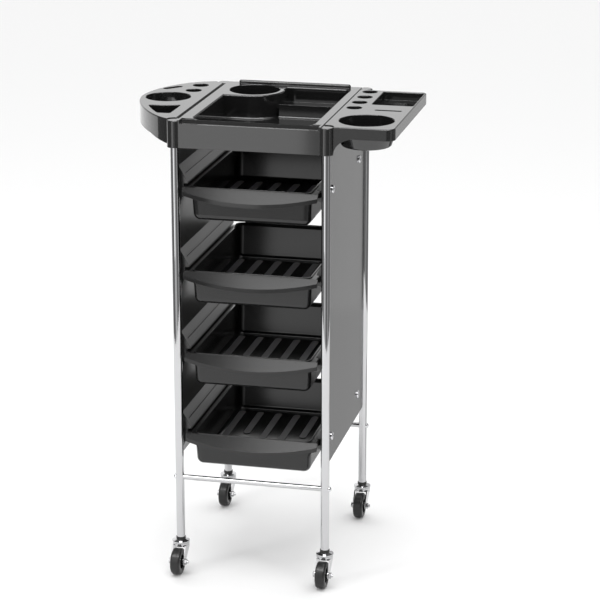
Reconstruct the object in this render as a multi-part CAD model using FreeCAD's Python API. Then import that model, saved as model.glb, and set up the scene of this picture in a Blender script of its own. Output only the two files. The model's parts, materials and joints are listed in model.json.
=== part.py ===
"""Spa trolley cart: chrome tube frame on four swivel castors, moulded deck with two fixed
wings, corrugated side panels and four sliding tray drawers. Millimetres, +Z up, -Y front.

All sizes below are about the stand centre, which is midway between the four legs at floor
level. The export moves the finished model so that its origin is at the floor, under the
middle of the whole outline.
"""
import FreeCAD, Part
import math
import os

V = FreeCAD.Vector

OVER = 1.0               # how far a cutting shape runs past what it cuts
TOLERANCE = 0.01         # for picking edges by their place

# ---------------------------------------------------------------- frame
LEG_X = 140.0            # leg axis from the stand centre, left and right
LEG_Y = 175.0            # leg axis from the stand centre, front and rear
LEG_R = 8.0
LEG_WALL = 1.2
CROSSBAR_R = 5.0
CROSSBAR_Z = 188.0
BAR_SCREW_R = 2.0
BAR_SCREW_BITE = 18.0    # how far the screw goes into the bar's end
BAR_HOLE_GAP = 0.1       # screw to the hole in the tube
BAR_HEAD_R = 5.0
BAR_HEAD_H = 3.5
BAR_HEAD_SADDLE = 1.6    # extra length of head, coped to the tube

# ---------------------------------------------------------------- screw heads, as shares of a head
HEAD_DOME = 0.6          # rounding, of its height
RECESS_REACH = 0.5       # cross recess, of its radius
RECESS_HALF_W = 0.17
RECESS_DEPTH = 0.5       # of its height

# ---------------------------------------------------------------- castors
WHEEL_R = 25.0
TYRE_T = 8.0
TYRE_SHOULDER_R = 4.0
HUB_R = WHEEL_R - TYRE_T
HUB_RIM_T = 3.0
HUB_WEB_T = 8.0
HUB_BOSS_WALL = 3.5
HUB_INSET = 1.0          # hub rim narrower than the tyre, each side
HUB_BORE_CLEARANCE = 0.06
TRAIL = 24.0             # axle from the swivel axis, towards the front at rest
AXLE_R = 3.0
FORK_GAP = 22.0
WHEEL_SIDE_GAP = 1.5
TYRE_W = FORK_GAP - 2 * WHEEL_SIDE_GAP
BOSS_SIDE_GAP = 0.5
FORK_PLATE = 2.2
FORK_NOSE_R = 8.0
FORK_NOSE_TURN = 30.0    # where the cheek's rear edge meets the nose
FORK_DROP = 8.0          # upright rear edge of the cheeks
CROWN_Z = 2 * WHEEL_R    # underside of the fork's crown
CROWN_T = 2.2
CROWN_FRONT = 14.0
CROWN_REAR = 12.0
LOWER_RACE_T = 3.8
RACE_R = 16.5
LOWER_RACE_INSET = 1.0
RACE_GAP = 1.0
RACE_SKIRT = 2.5
UPPER_RACE_T = 5.0
BALL_R = 1.5
BALL_CIRCLE_R = 11.0
BALL_COUNT = 12
BALL_CLEARANCE = 0.05
STEM_R = 4.0
STEM_CLEARANCE = 0.06
RIVET_R = 6.5
RIVET_H = 3.5
RIVET_GAP = 0.3
STEM_GRIP = 28.0         # length of stem inside the leg
PLUG_CAP = 3.0
PLUG_FLANGE_H = 5.0
PLUG_FLANGE_EDGE = 1.0   # flange wider than the tube, all round
NUT_FLAT_R = 5.0
NUT_H = 4.5
BOLT_HEAD_H = 3.5
BOLT_PROUD = 3.5

LOWER_RACE_TOP = CROWN_Z + CROWN_T + LOWER_RACE_T
UPPER_RACE_Z = LOWER_RACE_TOP + RACE_GAP
UPPER_RACE_TOP = UPPER_RACE_Z + UPPER_RACE_T
BALL_Z = LOWER_RACE_TOP + RACE_GAP / 2
AXLE_HALF = FORK_GAP / 2 + FORK_PLATE
LEG_BOTTOM = UPPER_RACE_TOP + PLUG_FLANGE_H
PLUG_FLANGE_R = LEG_R + PLUG_FLANGE_EDGE

# ---------------------------------------------------------------- deck
DECK_TOP = 876.0
DECK_H = 51.0
DECK_BOTTOM = DECK_TOP - DECK_H
DECK_WALL = 3.0
DECK_HALF_X = LEG_X - LEG_R          # outer side walls, where the wings bear
DECK_FRONT_Y = -(LEG_Y + 9.0)
DECK_REAR_Y = LEG_Y + 3.0
COLLAR_WALL = 5.25
COLLAR_R = LEG_R + COLLAR_WALL
SOCKET_DEPTH = 38.0
RIM_STEP = 2.5           # front rim below the side rails, at the tray
RIM_SLOPE_DROP = 4.0     # further fall of the front rim towards the skirt
RIM_GROOVE_W = 1.6       # shadow groove between the front rim and the skirt
RIM_GROOVE_DEPTH = 1.6
RIM_SKIRT_T = 3.4        # skirt's top edge in front of the groove
STEP_END = 4.0           # collars' inner side to the rim's step
COLLAR_STEP = 1.5        # collars below the side rails
COLLAR_EDGE_R = 1.5
FLOOR_FILLET = 3.5
RAIL_FILLET = 2.5        # rounding from the side rails into the tray
MOUTH_FILLET = 1.2       # rounding round the wings' pocket and bin
TRAY_LEFT = -(DECK_HALF_X - 23.0)
TRAY_RIGHT = DECK_HALF_X - 17.0
TRAY_FRONT = DECK_FRONT_Y + 20.0
TRAY_REAR = DECK_REAR_Y - 28.0
TRAY_DEPTH = 45.0
TRAY_FLOOR = DECK_TOP - TRAY_DEPTH
TRAY_CORNER_R = 10.0
CUP_R = 48.0
CUP_BLOCK_R = CUP_R + 10.0
CUP_X = TRAY_LEFT + 46.0
CUP_Y = TRAY_REAR - 38.0
CUP_RUN = 3.0            # straight flank inside the block's round side
BLOCK_ROOT = 6.0         # how far the block runs into the tray's walls
SHELF_LEFT = CUP_X + CUP_BLOCK_R - CUP_RUN
SHELF_FRONT = TRAY_REAR - 70.0       # raised rear compartment
SHELF_FLOOR = TRAY_FLOOR + 16.0
SHELF_LIP_TOP = SHELF_FLOOR + 9.0
SHELF_LIP_T = 4.0
BACK_LIP_IN = 2.0        # rear lip shorter than the tray, each end
BACK_LIP_Y = CUP_Y + CUP_R + 1.0
BACK_LIP_T = 8.0
BACK_LIP_H = 7.0
BACK_LIP_R = 3.9
BACK_LIP_EDGE_R = 3.4

# ---------------------------------------------------------------- wings
WING_TOP_T = 3.0
WING_EDGE_R = 2.0        # rounding along the outer top edge
LEFT_BEVEL_W = 5.0       # bevel down to the groove along the left wing's inner edge
HOLE_CHAMFER = 0.9
WING_WALL = 3.0
WING_GROOVE = 2.5        # shadow groove between deck and wing
WING_GAP = 0.3           # wing to collar
SLEEVE_WALL = 2.0
SLEEVE_DEPTH = 14.0
BOSS_R = 5.0
BOSS_LENGTH = 9.0
WING_SCREW_SPAN = 200.0
WING_SCREW_Y = [-WING_SCREW_SPAN / 2, 0.0, WING_SCREW_SPAN / 2]
WING_SCREW_Z = DECK_BOTTOM + 13.0
WING_SCREW_R = 2.0
WING_HEAD_R = 4.5
WING_HEAD_H = 3.0

LEFT_START_X = -(LEG_X + COLLAR_R)   # the bow springs from the collars' outer side
LEFT_REACH = 104.0
BOW_WIDE_Y = 15.0        # where the bow reaches furthest out
BOW_FRONT_FULL = 60.0    # the bow's two cubic curves: handles beside the widest point
BOW_REAR_FULL = 73.0
BOW_FRONT_RUN = 40.0     # and the handles' run and drop beside the collars
BOW_FRONT_DROP = 15.0
BOW_REAR_RUN = 57.0
BOW_REAR_DROP = 11.0
BOW_SHRINK_X = 0.6       # shares of an inset that keep the wall even along the curves
BOW_SHRINK_Y = 0.3
LEFT_SKIRT = 37.0
LEFT_SKIRT_END = 46.0    # skirt's depth where it meets the collars
LEFT_BEND_X = 44.0       # run over which the skirt deepens to the collar
RING_X = LEFT_START_X - 51.75
RING_Y = 11.0
RING_R = 42.5
RING_DEPTH = 28.0
POCKET_INSET = 14.0
POCKET_SIDE_X = LEFT_START_X - 7.75
POCKET_FRONT_Y = -(LEG_Y - 45.0)
POCKET_ARC_R = RING_R + 35.5
POCKET_DEPTH = 26.0
POCKET_CORNER_R = 5.0
LEFT_SLOT_X = LEFT_START_X - 67.25
LEFT_SLOT_Y = LEG_Y - 80.5
LEFT_SLOT_LENGTH = 42.0
LEFT_SLOT_W = 14.0
LEFT_SLOT_ANGLE = 49.0
BRUSH_R = 15.0
BRUSH_X = LEFT_START_X - 21.0
BRUSH_REAR_Y = LEG_Y - 47.0
BRUSH_PITCH = 50.5

RIGHT_START_X = LEG_X + COLLAR_R
RIGHT_REACH = 109.0
RIGHT_OUT_X = RIGHT_START_X + RIGHT_REACH
RIGHT_FRONT_Y = -(LEG_Y + 3.0)
RIGHT_REAR_Y = LEG_Y - 17.0
RIGHT_RIM_H = 21.0
RIGHT_FRONT_CORNER_R = 16.0
RIGHT_REAR_CORNER_R = 9.0
GUSSET_REACH = 37.0
WING_CUP_R = 50.0
WING_CUP_X = RIGHT_START_X + 46.75
WING_CUP_Y = RIGHT_FRONT_Y + 67.0
WING_CUP_DRAFT = 8.0
WING_CUP_BASE_R = 5.0    # rounding of the cup's underside
WING_CUP_BOTTOM = DECK_BOTTOM + 5.5
WING_CUP_FLOOR = WING_CUP_BOTTOM + WING_WALL
TOOL_R = 14.0
TOOL_X = RIGHT_START_X + 2.75
TOOL_REAR_Y = RIGHT_REAR_Y - 19.0
TOOL_PITCH = 49.0
TOOL_COUNT = 4
BIN_W = 78.0
BIN_LENGTH = 120.0
BIN_RIGHT = RIGHT_OUT_X - 3.4
BIN_LEFT = BIN_RIGHT - BIN_W
BIN_REAR = RIGHT_REAR_Y - 11.0
BIN_FRONT = BIN_REAR - BIN_LENGTH
BIN_DEPTH = 15.5
BIN_CORNER_R = 5.0
DISH_R = 34.0
DISH_DEPTH = 2.5
SLIT_LENGTH = 51.0
SLIT_W = 9.0
SLIT_X = WING_CUP_X + 21.5
SLIT_Y = BIN_FRONT - 47.0

# ---------------------------------------------------------------- drawers' heights
DRAWER_COUNT = 4
DRAWER_PITCH = 158.0
TOP_RIM_Z = DECK_BOTTOM - 74.0
RIM_HEIGHTS = [TOP_RIM_Z - DRAWER_PITCH * i for i in range(DRAWER_COUNT)]

# ---------------------------------------------------------------- side panels
PANEL_OUT_X = LEG_X + 2.0
COVER_T = 2.6
COVER_EDGE_R = 6.0
COVER_RETURN = 7.0       # how far the cover's edges turn inwards
PANEL_GAP = 0.2          # cover to leg and to deck
PANEL_END_Y = LEG_Y - LEG_R - PANEL_GAP
PANEL_TOP = DECK_BOTTOM - PANEL_GAP
PANEL_BOTTOM = RIM_HEIGHTS[-1] - 45.0
LINER_WALL = 2.2
LINER_EDGE_GAP = 0.3
LINER_INSET_Z = 1.0
LINER_BACK_X = PANEL_OUT_X - COVER_T
LINER_WALL_X = LINER_BACK_X - LINER_WALL
LINER_END_Y = PANEL_END_Y - COVER_EDGE_R - LINER_EDGE_GAP
RAIL_REACH_X = LEG_X - 20.0          # inner face of the rails
SLOT_DEPTH_X = 8.0       # slot from the rail's inner face outwards
SLOT_ABOVE_RIM = 3.0
SLOT_BELOW_FLANGE = 0.3
RAIL_LIP_T = 7.0
RAIL_TIP_H = 3.0         # upright tip between each slot and its ledge
BAND_H = 30.0            # sloped ledge above the tip
COVE_H = 45.0            # curved relief under each rail lip
COVE_EDGE = 3.0          # flat left under the lip
GROOVE_DEPTH = 2.4
GROOVE_W = 4.0
GROOVE_END_GAP = 12.0
GROOVE_UP = 0.5          # groove's place up the ledge
PANEL_SCREW_FRONT_Y = -(LEG_Y - 43.0)
PANEL_SCREW_REAR_Y = LEG_Y - 69.0
PANEL_SCREW_R = 2.4
PANEL_HEAD_R = 7.5
PANEL_HEAD_H = 3.5
PANEL_SCREW_ABOVE_RIM = 1.0

# ---------------------------------------------------------------- drawers
DRAWER_DEPTH = 62.0
DRAWER_HALF_X = RAIL_REACH_X - 8.0
DRAWER_FRONT_Y = -(LEG_Y + 1.0)
DRAWER_REAR_Y = LEG_Y - 15.0
DRAWER_TAPER_X = 3.0
DRAWER_TAPER_FRONT = 4.0
DRAWER_TAPER_REAR = 16.0
DRAWER_WALL = 2.3
DRAWER_CORNER_R = 13.5
DRAWER_BASE_FILLET = 12.0
BEAD_H = 1.5             # low bead round each drawer's mouth
REAR_RISE = 6.0          # the bead's rise to an upstand along the back
REAR_RAMP = 16.0
FLANGE_SIDE_GAP = 2.0
FLANGE_HALF_X = RAIL_REACH_X + SLOT_DEPTH_X - FLANGE_SIDE_GAP
FLANGE_T = 2.5
FLANGE_DROP = 9.0
FLANGE_REAR = 1.0
FLANGE_FRONT_Y = -(LINER_END_Y + 5.0)
LIP_HALF_X = FLANGE_HALF_X - 0.5
LIP_END_OUT = 7.0
LIP_MID_OUT = 22.0
LIP_SLOPE = 0.9          # drop per millimetre forward
LIP_T = 2.6
LIP_BEAD_H = 5.0
BAR_W = 14.0
BAR_H = 1.2
BAR_ROOT = 0.5           # how far a bar runs into the floor
BAR_SIDE_GAP = 13.5      # outermost bars' middles from the side walls
BAR_END_GAP = 22.0
BAR_BREAK = 24.0
BAR_PATTERN = ("long", "short", "long", "long", "short", "long")
BAR_SPAN_X = 2 * (DRAWER_HALF_X - DRAWER_TAPER_X - DRAWER_WALL - BAR_SIDE_GAP)
BAR_PITCH = BAR_SPAN_X / (len(BAR_PATTERN) - 1)

CORNERS = {
    "front_left": (-LEG_X, -LEG_Y),
    "front_right": (LEG_X, -LEG_Y),
    "rear_left": (-LEG_X, LEG_Y),
    "rear_right": (LEG_X, LEG_Y),
}
SIDES = {"left": -1, "right": 1}

# The model's origin is under the middle of the whole outline.
ORIGIN_X = (RIGHT_OUT_X + LEFT_START_X - LEFT_REACH) / 2
ORIGIN_Y = (max(COLLAR_R, RACE_R) - TRAIL - WHEEL_R) / 2


# ---------------------------------------------------------------- shape helpers
def box(x0, x1, y0, y1, z0, z1):
    """Box between two corners, given in any order along X."""
    low = min(x0, x1)
    return Part.makeBox(abs(x1 - x0), y1 - y0, z1 - z0, V(low, y0, z0))


def post(x, y, z0, z1, r):
    """Upright cylinder."""
    return Part.makeCylinder(r, z1 - z0, V(x, y, z0))


def pin(x0, x1, y, z, r):
    """Cylinder along X."""
    return Part.makeCylinder(r, abs(x1 - x0), V(min(x0, x1), y, z), V(1, 0, 0))


def fuse(shapes):
    """One clean solid from overlapping shapes."""
    return shapes[0].multiFuse(shapes[1:]).removeSplitter()


def rounded_wire(x0, x1, y0, y1, r, z):
    """Rectangle with round corners, in a level plane."""
    k = r * (1 - math.sqrt(0.5))
    line = [V(x0 + r, y0, z), V(x1 - r, y0, z), V(x1, y0 + r, z), V(x1, y1 - r, z),
            V(x1 - r, y1, z), V(x0 + r, y1, z), V(x0, y1 - r, z), V(x0, y0 + r, z)]
    middle = [V(x1 - k, y0 + k, z), V(x1 - k, y1 - k, z), V(x0 + k, y1 - k, z), V(x0 + k, y0 + k, z)]
    edges = []
    for i in range(4):
        start, end, after = line[2 * i], line[2 * i + 1], line[(2 * i + 2) % 8]
        edges.append(Part.makeLine(start, end))
        edges.append(Part.Arc(end, middle[i], after).toShape())
    return Part.Wire(edges)


def rounded_box(x0, x1, y0, y1, z0, z1, r):
    face = Part.Face(rounded_wire(x0, x1, y0, y1, r, z0))
    return face.extrude(V(0, 0, z1 - z0))


def stadium(x, y, length, width, angle, z0, z1):
    """Upright prism with two round ends, turned about its own middle."""
    half, r = (length - width) / 2, width / 2
    solid = fuse([box(-half, half, -r, r, z0, z1), post(-half, 0, z0, z1, r), post(half, 0, z0, z1, r)])
    solid.rotate(V(0, 0, 0), V(0, 0, 1), angle)
    solid.translate(V(x, y, 0))
    return solid


def prism_y(points, y0, y1):
    """Polygon of (x, z) points drawn out along Y."""
    face = Part.Face(Part.makePolygon([V(x, y0, z) for x, z in points + points[:1]]))
    return face.extrude(V(0, y1 - y0, 0))


def ellipse_y(x, z, half_x, half_z, y0, y1):
    """Elliptical bar along Y."""
    across, up = V(x + half_x, y0, z), V(x, y0, z + half_z)
    major, minor = (across, up) if half_x >= half_z else (up, across)
    edge = Part.Ellipse(major, minor, V(x, y0, z)).toShape()
    return Part.Face(Part.Wire([edge])).extrude(V(0, y1 - y0, 0))


def level_edges(shape, z):
    """Edges that lie in the level plane at z."""
    return [e for e in shape.Edges if abs(e.BoundBox.ZMin - z) + abs(e.BoundBox.ZMax - z) < TOLERANCE]


# ---------------------------------------------------------------- frame pieces
def leg(x, y):
    """Chrome tube with a cross hole for the crossbar's screw."""
    top = DECK_BOTTOM + SOCKET_DEPTH
    tube = post(x, y, LEG_BOTTOM, top, LEG_R).cut(post(x, y, LEG_BOTTOM, top, LEG_R - LEG_WALL))
    return tube.cut(pin(x - 2 * LEG_R, x + 2 * LEG_R, y, CROSSBAR_Z, BAR_SCREW_R + BAR_HOLE_GAP))


def crossbar(y):
    """Round bar coped to sit against both legs, with a screw hole in each end."""
    bar = pin(-LEG_X, LEG_X, y, CROSSBAR_Z, CROSSBAR_R)
    for side in SIDES.values():
        bar = bar.cut(post(side * LEG_X, y, LEG_BOTTOM, DECK_BOTTOM, LEG_R))
        inner = side * (LEG_X - LEG_R - BAR_SCREW_BITE)
        bar = bar.cut(pin(inner, side * LEG_X, y, CROSSBAR_Z, BAR_SCREW_R))
    return bar


def domed_screw(side, seat_x, y, z, shank_r, shank_end_x, head_r, head_h):
    """Pan-head screw along X, its head on the side named, with a cross recess."""
    tip_x = seat_x + side * head_h
    head = pin(seat_x, tip_x, y, z, head_r)
    rim = [e for e in head.Edges if abs(e.BoundBox.Center.x - tip_x) < TOLERANCE and e.Length > head_r]
    head = head.makeFillet(head_h * HEAD_DOME, rim)
    arm, half = head_r * RECESS_REACH, head_r * RECESS_HALF_W
    x0, x1 = tip_x - side * head_h * RECESS_DEPTH, tip_x + side * OVER
    recess = fuse([box(x0, x1, y - arm, y + arm, z - half, z + half),
                   box(x0, x1, y - half, y + half, z - arm, z + arm)])
    return fuse([head, pin(shank_end_x, seat_x, y, z, shank_r)]).cut(recess)


def crossbar_screws():
    """One screw through each leg into a crossbar's end, its head coped to the tube."""
    screws = []
    for side in SIDES.values():
        for y in (-LEG_Y, LEG_Y):
            seat = side * (LEG_X + LEG_R - BAR_HEAD_SADDLE)
            end = side * (LEG_X - LEG_R - BAR_SCREW_BITE + OVER)
            screw = domed_screw(side, seat, y, CROSSBAR_Z, BAR_SCREW_R, end, BAR_HEAD_R,
                                BAR_HEAD_H + BAR_HEAD_SADDLE)
            saddle = post(side * LEG_X, y, CROSSBAR_Z - BAR_HEAD_R, CROSSBAR_Z + BAR_HEAD_R, LEG_R)
            saddle = saddle.cut(pin(-2 * LEG_X, 2 * LEG_X, y, CROSSBAR_Z, BAR_SCREW_R))
            screws.append(screw.cut(saddle))
    return Part.makeCompound(screws)


# ---------------------------------------------------------------- castor pieces
def ball_track(x, y):
    return Part.makeTorus(BALL_CIRCLE_R, BALL_R + BALL_CLEARANCE, V(x, y, BALL_Z), V(0, 0, 1))


def castor_plug(x, y):
    """Plastic plug in the leg's end, with a flange under the tube."""
    flange = post(x, y, UPPER_RACE_TOP, LEG_BOTTOM, PLUG_FLANGE_R)
    barrel = post(x, y, LEG_BOTTOM, LEG_BOTTOM + STEM_GRIP + PLUG_CAP, LEG_R - LEG_WALL)
    return fuse([flange, barrel]).cut(post(x, y, UPPER_RACE_TOP, LEG_BOTTOM + STEM_GRIP, STEM_R))


def castor_stem(x, y):
    """Steel stem with the rivet head that keeps the fork on."""
    head_top = CROWN_Z - RIVET_GAP
    head = post(x, y, head_top - RIVET_H, head_top, RIVET_R)
    return fuse([head, post(x, y, head_top, LEG_BOTTOM + STEM_GRIP, STEM_R)])


def castor_race(x, y):
    """Fixed upper bearing cup, fast on the stem."""
    skirt = post(x, y, UPPER_RACE_Z, UPPER_RACE_Z + RACE_SKIRT, RACE_R)
    dome = Part.makeCone(RACE_R, PLUG_FLANGE_R, UPPER_RACE_T - RACE_SKIRT, V(x, y, UPPER_RACE_Z + RACE_SKIRT))
    return fuse([skirt, dome]).cut(post(x, y, UPPER_RACE_Z, UPPER_RACE_TOP, STEM_R)).cut(ball_track(x, y))


def castor_balls():
    """Ring of bearing balls in each castor."""
    balls = []
    for x, y in CORNERS.values():
        for i in range(BALL_COUNT):
            angle = 2 * math.pi * i / BALL_COUNT
            centre = V(x + BALL_CIRCLE_R * math.cos(angle), y + BALL_CIRCLE_R * math.sin(angle), BALL_Z)
            balls.append(Part.makeSphere(BALL_R, centre))
    return Part.makeCompound(balls)


def castor_fork(x, y):
    """Pressed fork: crown with the lower bearing cup, and two cheeks down to the axle."""
    axle_y = y - TRAIL
    crown = box(x - AXLE_HALF, x + AXLE_HALF, y - CROWN_FRONT, y + CROWN_REAR, CROWN_Z, CROWN_Z + CROWN_T)
    race = post(x, y, CROWN_Z, LOWER_RACE_TOP, RACE_R - LOWER_RACE_INSET)
    # Cheek outline: the crown's end, and tangents down to the nose round the axle.
    top = CROWN_Z + CROWN_T
    tangent = math.radians(FORK_NOSE_TURN)
    low_y, low_z = FORK_NOSE_R * math.cos(tangent), FORK_NOSE_R * math.sin(tangent)
    outline = [(y - CROWN_FRONT, top), (axle_y - FORK_NOSE_R, WHEEL_R), (axle_y, WHEEL_R),
               (axle_y + low_y, WHEEL_R - low_z), (y + CROWN_REAR, top - FORK_DROP), (y + CROWN_REAR, top)]
    parts = [crown, race]
    for side in SIDES.values():
        inner = x + side * FORK_GAP / 2
        low = min(inner, inner + side * FORK_PLATE)
        face = Part.Face(Part.makePolygon([V(low, a, b) for a, b in outline + outline[:1]]))
        parts.append(face.extrude(V(FORK_PLATE, 0, 0)))
        parts.append(pin(inner, inner + side * FORK_PLATE, axle_y, WHEEL_R, FORK_NOSE_R))
    fork = fuse(parts)
    fork = fork.cut(post(x, y, CROWN_Z - OVER, LOWER_RACE_TOP + OVER, STEM_R + STEM_CLEARANCE))
    fork = fork.cut(pin(x - 2 * AXLE_HALF, x + 2 * AXLE_HALF, axle_y, WHEEL_R, AXLE_R))
    return fork.cut(ball_track(x, y))


def hexagon_x(x0, x1, y, z, flat_r):
    """Hexagonal prism along X."""
    r = flat_r / math.cos(math.pi / 6)
    turns = [i * math.pi / 3 for i in range(7)]
    points = [V(min(x0, x1), y + r * math.cos(turn), z + r * math.sin(turn)) for turn in turns]
    return Part.Face(Part.makePolygon(points)).extrude(V(abs(x1 - x0), 0, 0))


def castor_bolt(x, y):
    """Axle bolt with a hexagonal head."""
    axle_y = y - TRAIL
    shank = pin(x - AXLE_HALF, x + AXLE_HALF + NUT_H + BOLT_PROUD, axle_y, WHEEL_R, AXLE_R)
    head = hexagon_x(x - AXLE_HALF - BOLT_HEAD_H, x - AXLE_HALF, axle_y, WHEEL_R, NUT_FLAT_R)
    return fuse([shank, head])


def castor_nut(x, y):
    axle_y = y - TRAIL
    nut = hexagon_x(x + AXLE_HALF, x + AXLE_HALF + NUT_H, axle_y, WHEEL_R, NUT_FLAT_R)
    return nut.cut(pin(x, x + 2 * AXLE_HALF, axle_y, WHEEL_R, AXLE_R))


def castor_hub(x, y):
    """Plastic wheel centre: rim, web and a boss nearly as wide as the fork."""
    axle_y = y - TRAIL
    half = TYRE_W / 2 - HUB_INSET
    rim = pin(x - half, x + half, axle_y, WHEEL_R, HUB_R)
    for side in SIDES.values():
        rim = rim.cut(pin(x + side * HUB_WEB_T / 2, x + side * TYRE_W, axle_y, WHEEL_R, HUB_R - HUB_RIM_T))
    half = FORK_GAP / 2 - BOSS_SIDE_GAP
    boss = pin(x - half, x + half, axle_y, WHEEL_R, AXLE_R + HUB_BOSS_WALL)
    bore = pin(x - FORK_GAP, x + FORK_GAP, axle_y, WHEEL_R, AXLE_R + HUB_BORE_CLEARANCE)
    return fuse([rim, boss]).cut(bore)


def castor_tyre(x, y):
    """Rubber tyre on the hub, with rounded shoulders."""
    axle_y = y - TRAIL
    tyre = pin(x - TYRE_W / 2, x + TYRE_W / 2, axle_y, WHEEL_R, WHEEL_R)
    tyre = tyre.makeFillet(TYRE_SHOULDER_R, [e for e in tyre.Edges if e.Length > TYRE_W])
    return tyre.cut(pin(x - TYRE_W, x + TYRE_W, axle_y, WHEEL_R, HUB_R))


# ---------------------------------------------------------------- deck
def cup_block(edge_r):
    """Solid round which the rear-left cup is formed, up to the deck's top, its upper edge rounded."""
    low = TRAY_FLOOR - DECK_WALL
    left, rear = TRAY_LEFT - BLOCK_ROOT, TRAY_REAR + BLOCK_ROOT
    rect = box(left, CUP_X, CUP_Y - CUP_BLOCK_R, rear, low, DECK_TOP)
    disc = post(CUP_X, CUP_Y, low, DECK_TOP, CUP_BLOCK_R)
    run = box(CUP_X, SHELF_LEFT, CUP_Y, rear, low, DECK_TOP)
    block = fuse([rect, disc, run])
    if edge_r:
        inside = [e for e in level_edges(block, DECK_TOP)
                  if e.CenterOfMass.x > left + TOLERANCE and e.CenterOfMass.y < rear - TOLERANCE]
        block = block.makeFillet(edge_r, inside)
    return block


def mouth_edges(shape, space):
    """Edges at the deck's top round the mouth of a hollow."""
    picked = []
    for edge in level_edges(shape, DECK_TOP):
        middle = Part.Vertex(edge.valueAt((edge.FirstParameter + edge.LastParameter) / 2))
        if middle.distToShape(space)[0] < TOLERANCE:
            picked.append(edge)
    return picked


def round_mouth(x, y, r):
    """Cone that chamfers a round hole's mouth at the deck's top."""
    low = DECK_TOP - HOLE_CHAMFER
    return Part.makeCone(r, r + 2 * HOLE_CHAMFER, 2 * HOLE_CHAMFER, V(x, y, low))


def front_rim():
    """Space above the sloped front rim, with the shadow groove behind the skirt's edge."""
    inner = DECK_TOP - RIM_STEP
    outer = inner - RIM_SLOPE_DROP
    skirt = DECK_FRONT_Y + RIM_SKIRT_T
    back = skirt + RIM_GROOVE_W
    points = [(DECK_FRONT_Y - OVER, DECK_TOP + OVER), (DECK_FRONT_Y - OVER, outer), (skirt, outer),
              (skirt, outer - RIM_GROOVE_DEPTH), (back, outer - RIM_GROOVE_DEPTH), (back, outer),
              (TRAY_FRONT, inner), (TRAY_FRONT, DECK_TOP + OVER)]
    end = DECK_HALF_X - STEP_END
    face = Part.Face(Part.makePolygon([V(-end, y, z) for y, z in points + points[:1]]))
    return face.extrude(V(2 * end, 0, 0))


def tray_prism(grow, z0, z1):
    return rounded_box(TRAY_LEFT - grow, TRAY_RIGHT + grow, TRAY_FRONT - grow, TRAY_REAR + grow,
                       z0, z1, TRAY_CORNER_R + grow)


def tray_mouth():
    """The tray's uppermost hollow, flared out to the rails and the cup block by a rounding."""
    low = DECK_TOP - 2 * RAIL_FILLET
    grow = 2 * RAIL_FILLET
    slab = tray_prism(grow, low, DECK_TOP)
    rail = slab.cut(tray_space(0))
    rail = rail.makeFillet(RAIL_FILLET, mouth_edges(rail, tray_space(0)))
    return slab.cut(rail).cut(cup_block(RAIL_FILLET))


def tray_space(grow):
    """The tray's hollow, grown outwards and downwards to leave a wall."""
    return tray_prism(grow, TRAY_FLOOR - grow, DECK_TOP + OVER)


def back_lip():
    """Low upstand behind the tray, its top edges rounded."""
    z1 = DECK_TOP + BACK_LIP_H
    lip = rounded_box(TRAY_LEFT + BACK_LIP_IN, TRAY_RIGHT - BACK_LIP_IN, BACK_LIP_Y, BACK_LIP_Y + BACK_LIP_T,
                      DECK_TOP - DECK_WALL, z1, BACK_LIP_R)
    return lip.makeFillet(BACK_LIP_EDGE_R, level_edges(lip, z1))


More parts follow.
